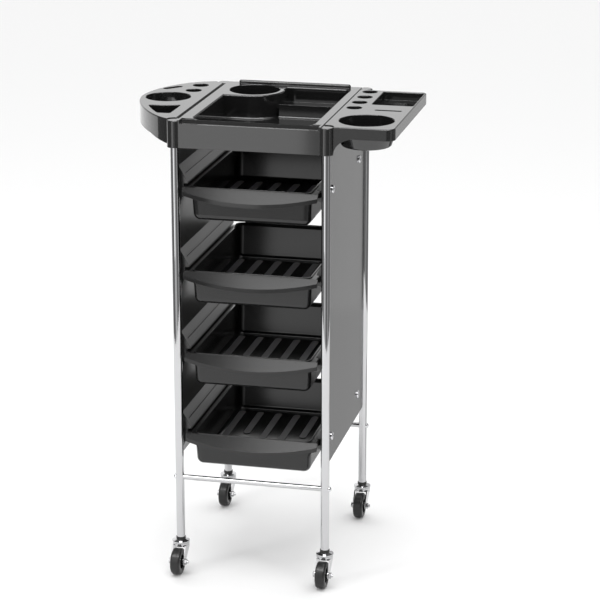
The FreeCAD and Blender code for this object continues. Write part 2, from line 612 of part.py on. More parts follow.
def top_tray():
    """Deck moulding: four leg collars, skirt, divided tray and rear lip, hollow underneath."""
    outer = box(-DECK_HALF_X, DECK_HALF_X, DECK_FRONT_Y, DECK_REAR_Y, DECK_BOTTOM, DECK_TOP)
    collar_top = DECK_TOP - COLLAR_STEP
    collars = []
    for x, y in CORNERS.values():
        beyond = box(math.copysign(DECK_HALF_X, x), 2 * x, y - LEG_Y, y + LEG_Y, collar_top, DECK_TOP + OVER)
        outer = outer.cut(beyond)
        collar = post(x, y, DECK_BOTTOM, collar_top, COLLAR_R)
        collars.append(collar.makeFillet(COLLAR_EDGE_R, level_edges(collar, collar_top)))
    body = fuse([outer, back_lip()] + collars)

    # Hollow under the top, left solid round the collars and the tray.
    low = DECK_BOTTOM - OVER
    cavity = box(-DECK_HALF_X + DECK_WALL, DECK_HALF_X - DECK_WALL, DECK_FRONT_Y + DECK_WALL,
                 DECK_REAR_Y - DECK_WALL, low, DECK_TOP - DECK_WALL)
    for x, y in CORNERS.values():
        cavity = cavity.cut(post(x, y, low - OVER, DECK_TOP, COLLAR_R))
    cavity = cavity.cut(tray_space(DECK_WALL))
    cavity = cavity.cut(post(CUP_X, CUP_Y, TRAY_FLOOR - DECK_WALL, DECK_TOP, CUP_R + DECK_WALL))
    lowered = DECK_TOP - RIM_STEP - RIM_SLOPE_DROP - RIM_GROOVE_DEPTH - DECK_WALL
    cavity = cavity.cut(box(-DECK_HALF_X, DECK_HALF_X, DECK_FRONT_Y, TRAY_FRONT, lowered, DECK_TOP))
    body = body.cut(cavity)

    # Tray, with the cup block and the raised rear compartment left standing in it.
    hollow = tray_space(0).cut(cup_block(0))
    under = TRAY_FLOOR - OVER
    shelf = box(SHELF_LEFT, TRAY_RIGHT + OVER, SHELF_FRONT, TRAY_REAR + OVER, under, SHELF_FLOOR)
    lip = box(SHELF_LEFT, TRAY_RIGHT + OVER, SHELF_FRONT, SHELF_FRONT + SHELF_LIP_T, under, SHELF_LIP_TOP)
    hollow = hollow.cut(shelf).cut(lip).removeSplitter()
    hollow = hollow.makeFillet(FLOOR_FILLET, level_edges(hollow, TRAY_FLOOR))
    body = body.cut(hollow).cut(tray_mouth())

    # Cored underneath the compartment so that its floor is a wall, not a block.
    core = box(SHELF_LEFT + DECK_WALL, TRAY_RIGHT, SHELF_FRONT + DECK_WALL, TRAY_REAR,
               low, SHELF_FLOOR - DECK_WALL)
    body = body.cut(core)
    body = body.cut(post(CUP_X, CUP_Y, TRAY_FLOOR, DECK_TOP + OVER, CUP_R))
    body = body.cut(round_mouth(CUP_X, CUP_Y, CUP_R))
    body = body.cut(front_rim())
    for x, y in CORNERS.values():
        body = body.cut(post(x, y, low, DECK_BOTTOM + SOCKET_DEPTH, LEG_R))
    for side in SIDES.values():
        for y in WING_SCREW_Y:
            body = body.cut(pin(side * (DECK_HALF_X - DECK_WALL - OVER), side * (DECK_HALF_X + OVER), y,
                                WING_SCREW_Z, WING_SCREW_R))
    return body.removeSplitter()


# ---------------------------------------------------------------- wings
def wing_fixings(side):
    """Bosses on a wing's inner wall, and the holes the screws cut in them."""
    start = side * DECK_HALF_X
    end = start + side * BOSS_LENGTH
    bosses = [pin(start, end, y, WING_SCREW_Z, BOSS_R) for y in WING_SCREW_Y]
    holes = [pin(start - side * OVER, end, y, WING_SCREW_Z, WING_SCREW_R) for y in WING_SCREW_Y]
    return bosses, holes


def edge_rounded(outline):
    """A wing's outline with its outer top edge rounded; the edge beside the deck stays sharp."""
    top = [e for e in level_edges(outline, DECK_TOP) if abs(e.CenterOfMass.x) > DECK_HALF_X + OVER]
    return outline.makeFillet(WING_EDGE_R, top)


def collar_room(wing):
    for x, y in CORNERS.values():
        wing = wing.cut(post(x, y, DECK_BOTTOM - OVER, DECK_TOP + OVER, COLLAR_R + WING_GAP))
    return wing


def shadow_groove(side):
    """Groove along the wing's top inner edge."""
    edge = side * DECK_HALF_X
    return box(edge, edge + side * WING_GROOVE, -LEG_Y, LEG_Y, DECK_TOP - WING_GROOVE, DECK_TOP + OVER)


def sleeve(x, y, r, depth):
    return post(x, y, DECK_TOP - depth, DECK_TOP, r + SLEEVE_WALL)


def bow_outline(inset, z0, z1):
    """The left wing's outline: a straight run beside the deck and a bow of two curves beyond the collars."""
    start, end_y = LEFT_START_X, LEG_Y - inset
    far = start - LEFT_REACH + inset
    dx, dy = BOW_SHRINK_X * inset, BOW_SHRINK_Y * inset
    rear = [(start, end_y), (start - BOW_REAR_RUN + dx, end_y - BOW_REAR_DROP),
            (far, BOW_WIDE_Y + BOW_REAR_FULL - dy), (far, BOW_WIDE_Y)]
    front = [(far, BOW_WIDE_Y), (far, BOW_WIDE_Y - BOW_FRONT_FULL + dy),
             (start - BOW_FRONT_RUN + dx, -end_y + BOW_FRONT_DROP), (start, -end_y)]
    edges = []
    for poles in (rear, front):
        curve = Part.BezierCurve()
        curve.setPoles([V(x, y, z0) for x, y in poles])
        edges.append(curve.toShape())
    edge = -DECK_HALF_X - inset
    corners = [V(start, -end_y, z0), V(edge, -end_y, z0), V(edge, end_y, z0), V(start, end_y, z0)]
    edges += [Part.makeLine(corners[i], corners[i + 1]) for i in range(3)]
    return Part.Face(Part.Wire(edges)).extrude(V(0, 0, z1 - z0))


def pocket_space(grow, z0):
    """The crescent pocket's hollow between the bow and the dryer ring, grown to leave a wall."""
    z1 = DECK_TOP + OVER
    space = bow_outline(POCKET_INSET - grow, z0, z1)
    keep = box(POCKET_SIDE_X + grow, LEFT_START_X - LEFT_REACH, POCKET_FRONT_Y - grow, RING_Y, z0, z1)
    space = space.common(keep).cut(post(RING_X, RING_Y, z0 - OVER, z1 + OVER, POCKET_ARC_R - grow))
    upright = [e for e in space.Edges if e.BoundBox.ZLength > OVER
               and e.BoundBox.XLength + e.BoundBox.YLength < TOLERANCE]
    return space.makeFillet(POCKET_CORNER_R + grow, upright)


def skirt_relief():
    """Everything below the left wing's skirt, which is shallower away from the collars."""
    start, far = LEFT_START_X, LEFT_START_X - LEFT_REACH - OVER
    low, below = DECK_BOTTOM - OVER, DECK_TOP - LEFT_SKIRT
    outline = [(start, low), (start, DECK_TOP - LEFT_SKIRT_END), (start - LEFT_BEND_X, below),
               (far, below), (far, low)]
    return prism_y(outline, -LEG_Y - OVER, LEG_Y + OVER)


def wing_left():
    """D-shaped wing with the dryer ring, a crescent pocket, a slot and two brush holes."""
    low, high = DECK_BOTTOM - OVER, DECK_TOP + OVER
    pocket_floor = DECK_TOP - POCKET_DEPTH
    brushes = [(BRUSH_X, BRUSH_REAR_Y), (BRUSH_X, BRUSH_REAR_Y - BRUSH_PITCH)]
    outline = edge_rounded(bow_outline(0, DECK_BOTTOM, DECK_TOP))
    shell = outline.cut(bow_outline(WING_WALL, low, DECK_TOP - WING_TOP_T)).cut(skirt_relief())
    bosses, holes = wing_fixings(-1)
    added = [shell, pocket_space(WING_WALL, pocket_floor - WING_WALL).common(outline),
             sleeve(RING_X, RING_Y, RING_R, RING_DEPTH)]
    added += [sleeve(x, y, BRUSH_R, SLEEVE_DEPTH) for x, y in brushes]
    wing = fuse(added + bosses)
    pocket = pocket_space(0, pocket_floor)
    wing = wing.cut(pocket)
    wing = wing.makeFillet(MOUTH_FILLET, mouth_edges(wing, pocket))
    for x, y, r in [(RING_X, RING_Y, RING_R)] + [(x, y, BRUSH_R) for x, y in brushes]:
        wing = wing.cut(post(x, y, low, high, r)).cut(round_mouth(x, y, r))
    wing = wing.cut(stadium(LEFT_SLOT_X, LEFT_SLOT_Y, LEFT_SLOT_LENGTH, LEFT_SLOT_W, LEFT_SLOT_ANGLE,
                            low, high))
    for hole in holes:
        wing = wing.cut(hole)
    edge = -DECK_HALF_X - WING_GROOVE
    groove_z = DECK_TOP - WING_GROOVE
    bevel = prism_y([(edge + OVER, groove_z), (edge, groove_z), (edge - LEFT_BEVEL_W, DECK_TOP),
                     (edge + OVER, DECK_TOP)], -LEG_Y, LEG_Y)
    return collar_room(wing).cut(shadow_groove(-1)).cut(bevel).removeSplitter()


def right_outline(inset, z0, z1):
    """The right wing's outline, with its two outer corners rounded."""
    out_x = RIGHT_OUT_X - inset
    solid = box(DECK_HALF_X + inset, out_x, RIGHT_FRONT_Y + inset, RIGHT_REAR_Y - inset, z0, z1)
    for front, radius in ((True, RIGHT_FRONT_CORNER_R), (False, RIGHT_REAR_CORNER_R)):
        edges = [e for e in solid.Edges if abs(e.CenterOfMass.x - out_x) < TOLERANCE
                 and abs(e.BoundBox.ZLength - z1 + z0) < TOLERANCE and e.BoundBox.YLength < TOLERANCE
                 and (e.CenterOfMass.y < 0) == front]
        solid = solid.makeFillet(radius - inset, edges)
    return solid


def gusset_relief():
    """Everything below the right wing's rim but the wall beside the deck and two curved gussets."""
    rim_z = DECK_TOP - RIGHT_RIM_H
    gusset_x = RIGHT_START_X + GUSSET_REACH
    y0, y1 = RIGHT_FRONT_Y - OVER, RIGHT_REAR_Y + OVER
    keep = box(DECK_HALF_X, gusset_x, y0, y1, DECK_BOTTOM - OVER, rim_z)
    curve = ellipse_y(gusset_x, DECK_BOTTOM, GUSSET_REACH, rim_z - DECK_BOTTOM, y0, y1)
    removed = box(DECK_HALF_X + WING_WALL, RIGHT_OUT_X + OVER, y0, y1, DECK_BOTTOM - OVER, rim_z)
    return removed.cut(keep.cut(curve))


def wing_right():
    """Rectangular wing with a cup, four tool holes, a slit and a bin."""
    low, high = DECK_BOTTOM - OVER, DECK_TOP + OVER
    rim_z = DECK_TOP - RIGHT_RIM_H
    outline = edge_rounded(right_outline(0, DECK_BOTTOM, DECK_TOP))
    shell = outline.cut(right_outline(WING_WALL, low, DECK_TOP - WING_TOP_T)).cut(gusset_relief())

    cup_base_r = WING_CUP_R - WING_CUP_DRAFT
    cup = Part.makeCone(cup_base_r + WING_WALL, WING_CUP_R + WING_WALL, rim_z - WING_CUP_BOTTOM,
                        V(WING_CUP_X, WING_CUP_Y, WING_CUP_BOTTOM))
    cup = cup.makeFillet(WING_CUP_BASE_R, level_edges(cup, WING_CUP_BOTTOM))
    cup_top = post(WING_CUP_X, WING_CUP_Y, rim_z, DECK_TOP, WING_CUP_R + WING_WALL)
    bin_floor = DECK_TOP - BIN_DEPTH
    bin_wall = rounded_box(BIN_LEFT - WING_WALL, BIN_RIGHT + WING_WALL, BIN_FRONT - WING_WALL,
                           BIN_REAR + WING_WALL, bin_floor - WING_WALL - DISH_DEPTH, DECK_TOP,
                           BIN_CORNER_R + WING_WALL)
    tools = [(TOOL_X, TOOL_REAR_Y - TOOL_PITCH * i) for i in range(TOOL_COUNT)]
    bosses, holes = wing_fixings(1)
    sleeves = [sleeve(x, y, TOOL_R, SLEEVE_DEPTH) for x, y in tools]
    wing = fuse([shell, cup, cup_top, bin_wall] + sleeves + bosses).common(outline)

    bin_space = rounded_box(BIN_LEFT, BIN_RIGHT, BIN_FRONT, BIN_REAR, bin_floor, high, BIN_CORNER_R)
    bin_mid = ((BIN_LEFT + BIN_RIGHT) / 2, (BIN_FRONT + BIN_REAR) / 2)
    wing = wing.cut(bin_space)
    wing = wing.makeFillet(MOUTH_FILLET, mouth_edges(wing, bin_space))
    wing = wing.cut(post(*bin_mid, bin_floor - DISH_DEPTH, DECK_TOP, DISH_R))
    cup_bore = Part.makeCone(cup_base_r, WING_CUP_R, rim_z - WING_CUP_FLOOR,
                             V(WING_CUP_X, WING_CUP_Y, WING_CUP_FLOOR))
    wing = wing.cut(cup_bore).cut(post(WING_CUP_X, WING_CUP_Y, rim_z, high, WING_CUP_R))
    wing = wing.cut(round_mouth(WING_CUP_X, WING_CUP_Y, WING_CUP_R))
    for x, y in tools:
        wing = wing.cut(post(x, y, low, high, TOOL_R)).cut(round_mouth(x, y, TOOL_R))
    wing = wing.cut(stadium(SLIT_X, SLIT_Y, SLIT_LENGTH, SLIT_W, 0, low, high))
    for hole in holes:
        wing = wing.cut(hole)
    return collar_room(wing).cut(shadow_groove(1)).removeSplitter()


def wing_screws():
    """Screws from the hollow beside the tray, through the deck's wall into each wing."""
    screws = []
    for side in SIDES.values():
        seat = side * (DECK_HALF_X - DECK_WALL)
        end = side * (DECK_HALF_X + BOSS_LENGTH - OVER)
        for y in WING_SCREW_Y:
            screws.append(domed_screw(-side, seat, y, WING_SCREW_Z, WING_SCREW_R, end,
                                      WING_HEAD_R, WING_HEAD_H))
    return Part.makeCompound(screws)


# ---------------------------------------------------------------- side panels
def panel_screw_spots():
    heights = [RIM_HEIGHTS[0] + PANEL_SCREW_ABOVE_RIM, RIM_HEIGHTS[-1] + PANEL_SCREW_ABOVE_RIM]
    return [(y, z) for y in (PANEL_SCREW_FRONT_Y, PANEL_SCREW_REAR_Y) for z in heights]


def upright_edges(shape, x):
    """Upright edges of a box at the side named by x."""
    return [e for e in shape.Edges if abs(e.CenterOfMass.x - x) < TOLERANCE
            and e.BoundBox.ZLength > e.BoundBox.YLength]


def side_cover(side):
    """Smooth outer skin between the legs, with its upright edges turned in."""
    edge_y = PANEL_END_Y
    inner_x = PANEL_OUT_X - COVER_RETURN
    outer = box(inner_x, PANEL_OUT_X, -edge_y, edge_y, PANEL_BOTTOM, PANEL_TOP)
    outer = outer.makeFillet(COVER_EDGE_R, upright_edges(outer, PANEL_OUT_X))
    inner = box(inner_x - OVER, LINER_BACK_X, -edge_y + COVER_T, edge_y - COVER_T,
                PANEL_BOTTOM - OVER, PANEL_TOP + OVER)
    cover = outer.cut(inner.makeFillet(COVER_EDGE_R - COVER_T, upright_edges(inner, LINER_BACK_X)))
    for y, z in panel_screw_spots():
        cover = cover.cut(pin(LINER_BACK_X - OVER, PANEL_OUT_X + OVER, y, z, PANEL_SCREW_R))
    return cover if side > 0 else cover.mirror(V(0, 0, 0), V(1, 0, 0))


def rail_section(rim_z):
    """One drawer's rail: sloped ledge, tip and lip as a closed (x, z) outline, right-hand side."""
    wall = LINER_WALL_X
    tip_z = rim_z + SLOT_ABOVE_RIM + RAIL_TIP_H
    lip_z = rim_z - FLANGE_DROP - SLOT_BELOW_FLANGE - RAIL_LIP_T
    return [(wall, tip_z + BAND_H), (RAIL_REACH_X, tip_z), (RAIL_REACH_X, lip_z), (wall, lip_z)]


def rail_liner(side):
    """Corrugated inner moulding: a wall with a hollow-backed rail for each drawer."""
    wall = LINER_WALL_X
    z0, z1 = PANEL_BOTTOM + LINER_INSET_Z, PANEL_TOP - LINER_INSET_Z
    y0, y1 = -LINER_END_Y - OVER, LINER_END_Y + OVER
    parts = [box(wall, LINER_BACK_X, -LINER_END_Y, LINER_END_Y, z0, z1)]
    cuts = []
    for rim_z in RIM_HEIGHTS:
        section = rail_section(rim_z)
        slot_top = rim_z + SLOT_ABOVE_RIM
        slot_bottom = rim_z - FLANGE_DROP - SLOT_BELOW_FLANGE
        tip_z, lip_z = section[1][1], section[2][1]
        parts.append(prism_y(section, -LINER_END_Y, LINER_END_Y))
        # Concave cove from the lip's underside back to the wall.
        depth = wall - RAIL_REACH_X - COVE_EDGE
        drop = min(COVE_H, lip_z - z0)
        block = box(wall - depth, wall, -LINER_END_Y, LINER_END_Y, lip_z - drop, lip_z)
        scoop = ellipse_y(wall - depth, lip_z - drop, depth, drop, y0, y1)
        parts.append(block.cut(scoop))
        cuts.append(box(RAIL_REACH_X - OVER, RAIL_REACH_X + SLOT_DEPTH_X, y0, y1, slot_bottom, slot_top))
        # Hollow back behind the ledge, open towards the cover.
        top = tip_z + BAND_H
        slope = (wall - RAIL_REACH_X) / BAND_H
        skin = LINER_WALL * math.hypot(1, slope) + GROOVE_DEPTH
        low = slot_top + LINER_WALL
        low_x = RAIL_REACH_X + slope * (low - tip_z) + skin
        back = LINER_BACK_X + OVER
        cuts.append(prism_y([(low_x, low), (back, low), (back, top), (wall + skin, top)],
                            -LINER_END_Y + LINER_WALL, LINER_END_Y - LINER_WALL))
        # Long groove pressed in the ledge's face.
        mid_z = tip_z + BAND_H * GROOVE_UP
        mid_x = RAIL_REACH_X + slope * (mid_z - tip_z)
        groove = box(-GROOVE_DEPTH, GROOVE_DEPTH, -LINER_END_Y + GROOVE_END_GAP, LINER_END_Y - GROOVE_END_GAP,
                     -GROOVE_W / 2, GROOVE_W / 2)
        groove.rotate(V(0, 0, 0), V(0, 1, 0), math.degrees(math.atan(slope)))
        groove.translate(V(mid_x, 0, mid_z))
        cuts.append(groove)
    liner = fuse(parts)
    for cut in cuts:
        liner = liner.cut(cut)
    for y, z in panel_screw_spots():
        liner = liner.cut(pin(RAIL_REACH_X + SLOT_DEPTH_X - OVER, PANEL_OUT_X, y, z, PANEL_SCREW_R))
    liner = liner.removeSplitter()
    return liner if side > 0 else liner.mirror(V(0, 0, 0), V(1, 0, 0))


def panel_screws():
    """Screws that join each cover to its liner."""
    screws = []
    for side in SIDES.values():
        end = side * (RAIL_REACH_X + SLOT_DEPTH_X + OVER)
        for y, z in panel_screw_spots():
            screws.append(domed_screw(side, side * PANEL_OUT_X, y, z, PANEL_SCREW_R, end,
                                      PANEL_HEAD_R, PANEL_HEAD_H))
    return Part.makeCompound(screws)


# ---------------------------------------------------------------- drawers
def tapered_tub(rim_z, inset):
    """The drawer's rounded bowl, narrower at its base; inset shrinks it all round."""
    lower = rim_z - DRAWER_DEPTH + inset
    share = (DRAWER_DEPTH - inset) / DRAWER_DEPTH
    side, front, rear = DRAWER_HALF_X - inset, DRAWER_FRONT_Y + inset, DRAWER_REAR_Y - inset
    taper = DRAWER_TAPER_X * share
    radius = DRAWER_CORNER_R - inset
    top = rounded_wire(-side, side, front, rear, radius, rim_z)
    base = rounded_wire(-side + taper, side - taper, front + DRAWER_TAPER_FRONT * share,
                        rear - DRAWER_TAPER_REAR * share, radius, lower)
    tub = Part.makeLoft([base, top], True, True)
    return tub.makeFillet(DRAWER_BASE_FILLET - inset, level_edges(tub, lower))


def drawer_lip(rim_z):
    """Sloped crescent apron across the drawer's front, with a turned-down bead."""
    sagitta = LIP_MID_OUT - LIP_END_OUT
    radius = (LIP_HALF_X ** 2 + sagitta ** 2) / (2 * sagitta)
    centre_y = DRAWER_FRONT_Y - LIP_MID_OUT + radius
    low = rim_z - LIP_MID_OUT * LIP_SLOPE - LIP_BEAD_H - LIP_T
    front = DRAWER_FRONT_Y - LIP_MID_OUT - OVER

    def slab(thick):
        points = [(DRAWER_FRONT_Y, rim_z), (front, rim_z - (DRAWER_FRONT_Y - front) * LIP_SLOPE)]
        points += [(y, z - thick) for y, z in reversed(points)]
        face = Part.Face(Part.makePolygon([V(-LIP_HALF_X, y, z) for y, z in points + points[:1]]))
        return face.extrude(V(2 * LIP_HALF_X, 0, 0))

    bow = post(0, centre_y, low - OVER, rim_z + OVER, radius)
    ring = bow.cut(post(0, centre_y, low - 2 * OVER, rim_z + 2 * OVER, radius - LIP_T))
    return fuse([slab(LIP_T).common(bow), slab(LIP_T + LIP_BEAD_H).common(ring)])


def floor_bars(rim_z):
    """Raised round-ended bars on the drawer's floor, along its length."""
    floor = rim_z - DRAWER_DEPTH + DRAWER_WALL
    y0 = DRAWER_FRONT_Y + DRAWER_TAPER_FRONT + BAR_END_GAP
    y1 = DRAWER_REAR_Y - DRAWER_TAPER_REAR - BAR_END_GAP
    bars = []
    for i, kind in enumerate(BAR_PATTERN):
        x = (i - (len(BAR_PATTERN) - 1) / 2) * BAR_PITCH
        if kind == "long":
            spans = [(y0, y1)]
        else:
            middle = (y0 + y1) / 2
            spans = [(y0, middle - BAR_BREAK / 2), (middle + BAR_BREAK / 2, y1)]
        for a, b in spans:
            bars.append(stadium(x, (a + b) / 2, b - a, BAR_W, 90, floor - BAR_ROOT, floor + BAR_H))
    return bars


def mouth_prism(inset, z0, z1):
    """Upright prism on the outline of the drawer's mouth, shrunk by inset."""
    side, front, rear = DRAWER_HALF_X - inset, DRAWER_FRONT_Y + inset, DRAWER_REAR_Y - inset
    wire = rounded_wire(-side, side, front, rear, DRAWER_CORNER_R - inset, z0)
    return Part.Face(wire).extrude(V(0, 0, z1 - z0))


def mouth_bead(rim_z):
    """Low bead round the drawer's mouth, which ramps up to an upstand along the back."""
    top = rim_z + REAR_RISE
    ring = mouth_prism(0, rim_z, top).cut(mouth_prism(DRAWER_WALL, rim_z - OVER, top + OVER))
    front, rear = DRAWER_FRONT_Y - OVER, DRAWER_REAR_Y + OVER
    crest = DRAWER_REAR_Y - DRAWER_CORNER_R
    low = rim_z + BEAD_H
    above = [(front, low), (crest - REAR_RAMP, low), (crest, top), (rear, top), (rear, top + OVER),
             (front, top + OVER)]
    face = Part.Face(Part.makePolygon([V(-DRAWER_HALF_X - OVER, y, z) for y, z in above + above[:1]]))
    return ring.cut(face.extrude(V(2 * (DRAWER_HALF_X + OVER), 0, 0)))


def drawer(rim_z):
    """Tray drawer: tapered tub, side flanges that hang in the rails, and the front lip."""
    outer = tapered_tub(rim_z, 0)
    inner = tapered_tub(rim_z, DRAWER_WALL)
    flange_front = FLANGE_FRONT_Y
    rear = DRAWER_REAR_Y + FLANGE_REAR
    plate = box(-FLANGE_HALF_X, FLANGE_HALF_X, flange_front, rear, rim_z - FLANGE_T, rim_z)
    front_plate = box(-LIP_HALF_X, LIP_HALF_X, DRAWER_FRONT_Y, flange_front, rim_z - FLANGE_T, rim_z)
    parts = [outer, plate, front_plate, drawer_lip(rim_z)]
    for side in SIDES.values():
        edge = side * FLANGE_HALF_X
        parts.append(box(edge - side * FLANGE_T, edge, flange_front, rear, rim_z - FLANGE_DROP, rim_z))
    tub = fuse(parts).cut(inner)
    return fuse([tub, mouth_bead(rim_z)] + floor_bars(rim_z))


# ---------------------------------------------------------------- export
def build():
    """Every sub-part by node name, about the stand centre."""
    nodes = {"crossbar_front": crossbar(-LEG_Y), "crossbar_rear": crossbar(LEG_Y),
             "crossbar_screws": crossbar_screws(), "castor_balls": castor_balls(),
             "top_tray": top_tray(), "wing_left": wing_left(), "wing_right": wing_right(),
             "wing_screws": wing_screws(), "panel_screws": panel_screws()}
    makers = {"plug": castor_plug, "stem": castor_stem, "race": castor_race, "fork": castor_fork,
              "bolt": castor_bolt, "nut": castor_nut, "hub": castor_hub, "tyre": castor_tyre}
    for corner, (x, y) in CORNERS.items():
        nodes[f"leg_{corner}"] = leg(x, y)
        for piece, maker in makers.items():
            nodes[f"castor_{piece}_{corner}"] = maker(x, y)
    for name, side in SIDES.items():
        nodes[f"side_cover_{name}"] = side_cover(side)
        nodes[f"rail_liner_{name}"] = rail_liner(side)
    for number, rim_z in enumerate(RIM_HEIGHTS, start=1):
        nodes[f"drawer_{number}"] = drawer(rim_z)
    return nodes


os.makedirs("parts", exist_ok=True)
for name, shape in build().items():
    shape.translate(V(-ORIGIN_X, -ORIGIN_Y, 0))
    shape.exportStep(f"parts/{name}.step")
    box_now = shape.BoundBox
    print(f"{name}: {len(shape.Solids)} solid(s), valid {shape.isValid()}, {shape.Volume / 1000:.1f} cm3,"
          f" X {box_now.XMin:.1f}..{box_now.XMax:.1f} Y {box_now.YMin:.1f}..{box_now.YMax:.1f}"
          f" Z {box_now.ZMin:.1f}..{box_now.ZMax:.1f}")
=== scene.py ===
import json
import math

import bmesh
import bpy
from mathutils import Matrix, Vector


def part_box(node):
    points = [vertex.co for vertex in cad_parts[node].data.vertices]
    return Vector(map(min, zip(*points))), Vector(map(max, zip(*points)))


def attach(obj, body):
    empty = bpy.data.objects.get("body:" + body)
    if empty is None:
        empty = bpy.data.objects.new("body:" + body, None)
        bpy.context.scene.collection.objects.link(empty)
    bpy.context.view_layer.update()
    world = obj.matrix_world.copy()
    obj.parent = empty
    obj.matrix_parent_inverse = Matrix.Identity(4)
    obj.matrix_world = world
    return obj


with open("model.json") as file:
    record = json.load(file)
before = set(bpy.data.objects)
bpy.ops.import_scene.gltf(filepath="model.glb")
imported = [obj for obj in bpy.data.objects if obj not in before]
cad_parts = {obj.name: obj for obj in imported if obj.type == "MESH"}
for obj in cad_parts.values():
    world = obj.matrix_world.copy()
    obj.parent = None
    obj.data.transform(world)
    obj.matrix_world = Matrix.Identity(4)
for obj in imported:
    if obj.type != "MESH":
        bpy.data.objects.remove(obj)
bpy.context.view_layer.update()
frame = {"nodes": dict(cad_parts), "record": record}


# ---------------------------------------------------------------- helpers
def add_object(name, data):
    """Object that holds this data, linked to the scene."""
    obj = bpy.data.objects.new(name, data)
    bpy.context.scene.collection.objects.link(obj)
    return obj


def look_at(obj, place, target):
    """Put a camera or light somewhere and point it at the target."""
    obj.location = place
    obj.rotation_euler = (target - place).to_track_quat("-Z", "Y").to_euler()


def new_material(name):
    """Node material, given with its shader."""
    material = bpy.data.materials.new(name)
    material.use_nodes = True
    return material, material.node_tree.nodes["Principled BSDF"]


# ---------------------------------------------------------------- camera
CAMERA_AZIMUTH = math.radians(13.11)     # towards +X from straight in front
CAMERA_ELEVATION = math.radians(17.05)
CAMERA_DISTANCE = 4.156
CAMERA_LENS = 131.2
SENSOR_WIDTH = 36.0
CLIP_END = 50.0
AIM_RIGHT = 0.0516                       # from the middle of the legs to the point aimed at
AIM_HEIGHT = 0.497
LEGS = ("leg_front_left", "leg_front_right", "leg_rear_left", "leg_rear_right")
LEG_CORNERS = [Vector(corner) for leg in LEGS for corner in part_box(leg)]
LEG_MIDDLE = sum(LEG_CORNERS, Vector()) / len(LEG_CORNERS)
CAMERA_TARGET = Vector((LEG_MIDDLE.x + AIM_RIGHT, LEG_MIDDLE.y, AIM_HEIGHT))


def add_camera():
    """Camera in front of the cart, turned towards +X and raised."""
    data = bpy.data.cameras.new("camera")
    data.lens = CAMERA_LENS
    data.sensor_width = SENSOR_WIDTH
    data.clip_end = CLIP_END
    level = math.cos(CAMERA_ELEVATION)
    way = Vector((math.sin(CAMERA_AZIMUTH) * level,
                  -math.cos(CAMERA_AZIMUTH) * level,
                  math.sin(CAMERA_ELEVATION)))
    camera = add_object("camera", data)
    look_at(camera, CAMERA_TARGET + way * CAMERA_DISTANCE, CAMERA_TARGET)
    bpy.context.scene.camera = camera


add_camera()


# ---------------------------------------------------------------- floor, surround and lights
FLOOR_HALF = 14.0                        # reaches past every view
FLOOR_TONE = 0.86
FLOOR_ROUGHNESS = 0.9

SURROUND_IN_FRONT = 0.5                  # the world's strength towards -Y
SURROUND_BEHIND = 1.9                    # and towards +Y
TURN_START = -0.4                        # Y of a direction where the first begins to become the second
TURN_END = 0.8

SOFTBOX_TARGET = Vector((0, 0, 0.5))
SOFTBOXES = [                            # place, width, height, power, whether reflections see it
    ("softbox_left", (-2.0, -2.0, 1.3), 0.5, 2.4, 22, True),
    ("softbox_right", (2.3, -1.4, 1.2), 0.4, 2.4, 14, True),
    ("softbox_top", (0.0, -0.6, 2.8), 2.0, 1.6, 30, False),
]


def add_sheet(name, points, faces, material):
    """Thin sheet for the floor or a reflecting surface."""
    mesh = bpy.data.meshes.new(name)
    mesh.from_pydata(points, [], faces)
    mesh.materials.append(material)
    return add_object(name, mesh)


def rectangle(x0, x1, y0, y1, z):
    """Corners of a level rectangle."""
    return [(x0, y0, z), (x1, y0, z), (x1, y1, z), (x0, y1, z)]


def add_floor():
    """Plain pale floor."""
    material, shader = new_material("floor")
    shader.inputs["Base Color"].default_value = (FLOOR_TONE, FLOOR_TONE, FLOOR_TONE, 1)
    shader.inputs["Roughness"].default_value = FLOOR_ROUGHNESS
    corners = rectangle(-FLOOR_HALF, FLOOR_HALF, -FLOOR_HALF, FLOOR_HALF, 0)
    floor = add_sheet("floor", corners, [(0, 1, 2, 3)], material)


def add_world():
    """Soft white surround, brighter behind the cart than in front of it."""
    world = bpy.data.worlds.new("studio")
    world.use_nodes = True
    tree = world.node_tree
    background = tree.nodes["Background"]
    background.inputs["Color"].default_value = (1, 1, 1, 1)
    place = tree.nodes.new("ShaderNodeTexCoord")
    split = tree.nodes.new("ShaderNodeSeparateXYZ")
    depth = tree.nodes.new("ShaderNodeMapRange")
    depth.interpolation_type = "SMOOTHSTEP"
    depth.inputs["From Min"].default_value = TURN_START
    depth.inputs["From Max"].default_value = TURN_END
    depth.inputs["To Min"].default_value = SURROUND_IN_FRONT
    depth.inputs["To Max"].default_value = SURROUND_BEHIND
    tree.links.new(place.outputs["Generated"], split.inputs[0])
    tree.links.new(split.outputs["Y"], depth.inputs["Value"])
    tree.links.new(depth.outputs["Result"], background.inputs["Strength"])
    bpy.context.scene.world = world


def add_softbox(name, place, width, height, power, in_gloss):
    """Rectangular area light aimed at the middle of the cart."""
    data = bpy.data.lights.new(name, "AREA")
    data.shape = "RECTANGLE"
    data.size = width
    data.size_y = height
    data.energy = power
    light = add_object(name, data)
    light.visible_glossy = in_gloss
    look_at(light, Vector(place), SOFTBOX_TARGET)


# ---------------------------------------------------------------- what the gloss and chrome reflect
WALL_RADIUS = 1.6
WALL_STEP = 7.5                          # degrees between a wall's folds
WALL_FEWEST = 2                          # flat stretches of the narrowest wall
FOOT = 0.002                             # just clear of the floor
STRIP_FOOT = 0.22                        # the front strip is brighter above this
TOP = 2.0
RIGHT_TOP = 1.3
BACK_TOP = 1.34                          # the back is dark above this
UPPER_TOP = 3.2
CEILING = 2.4
LOW = 0.001                              # height of a sheet that lies on the floor

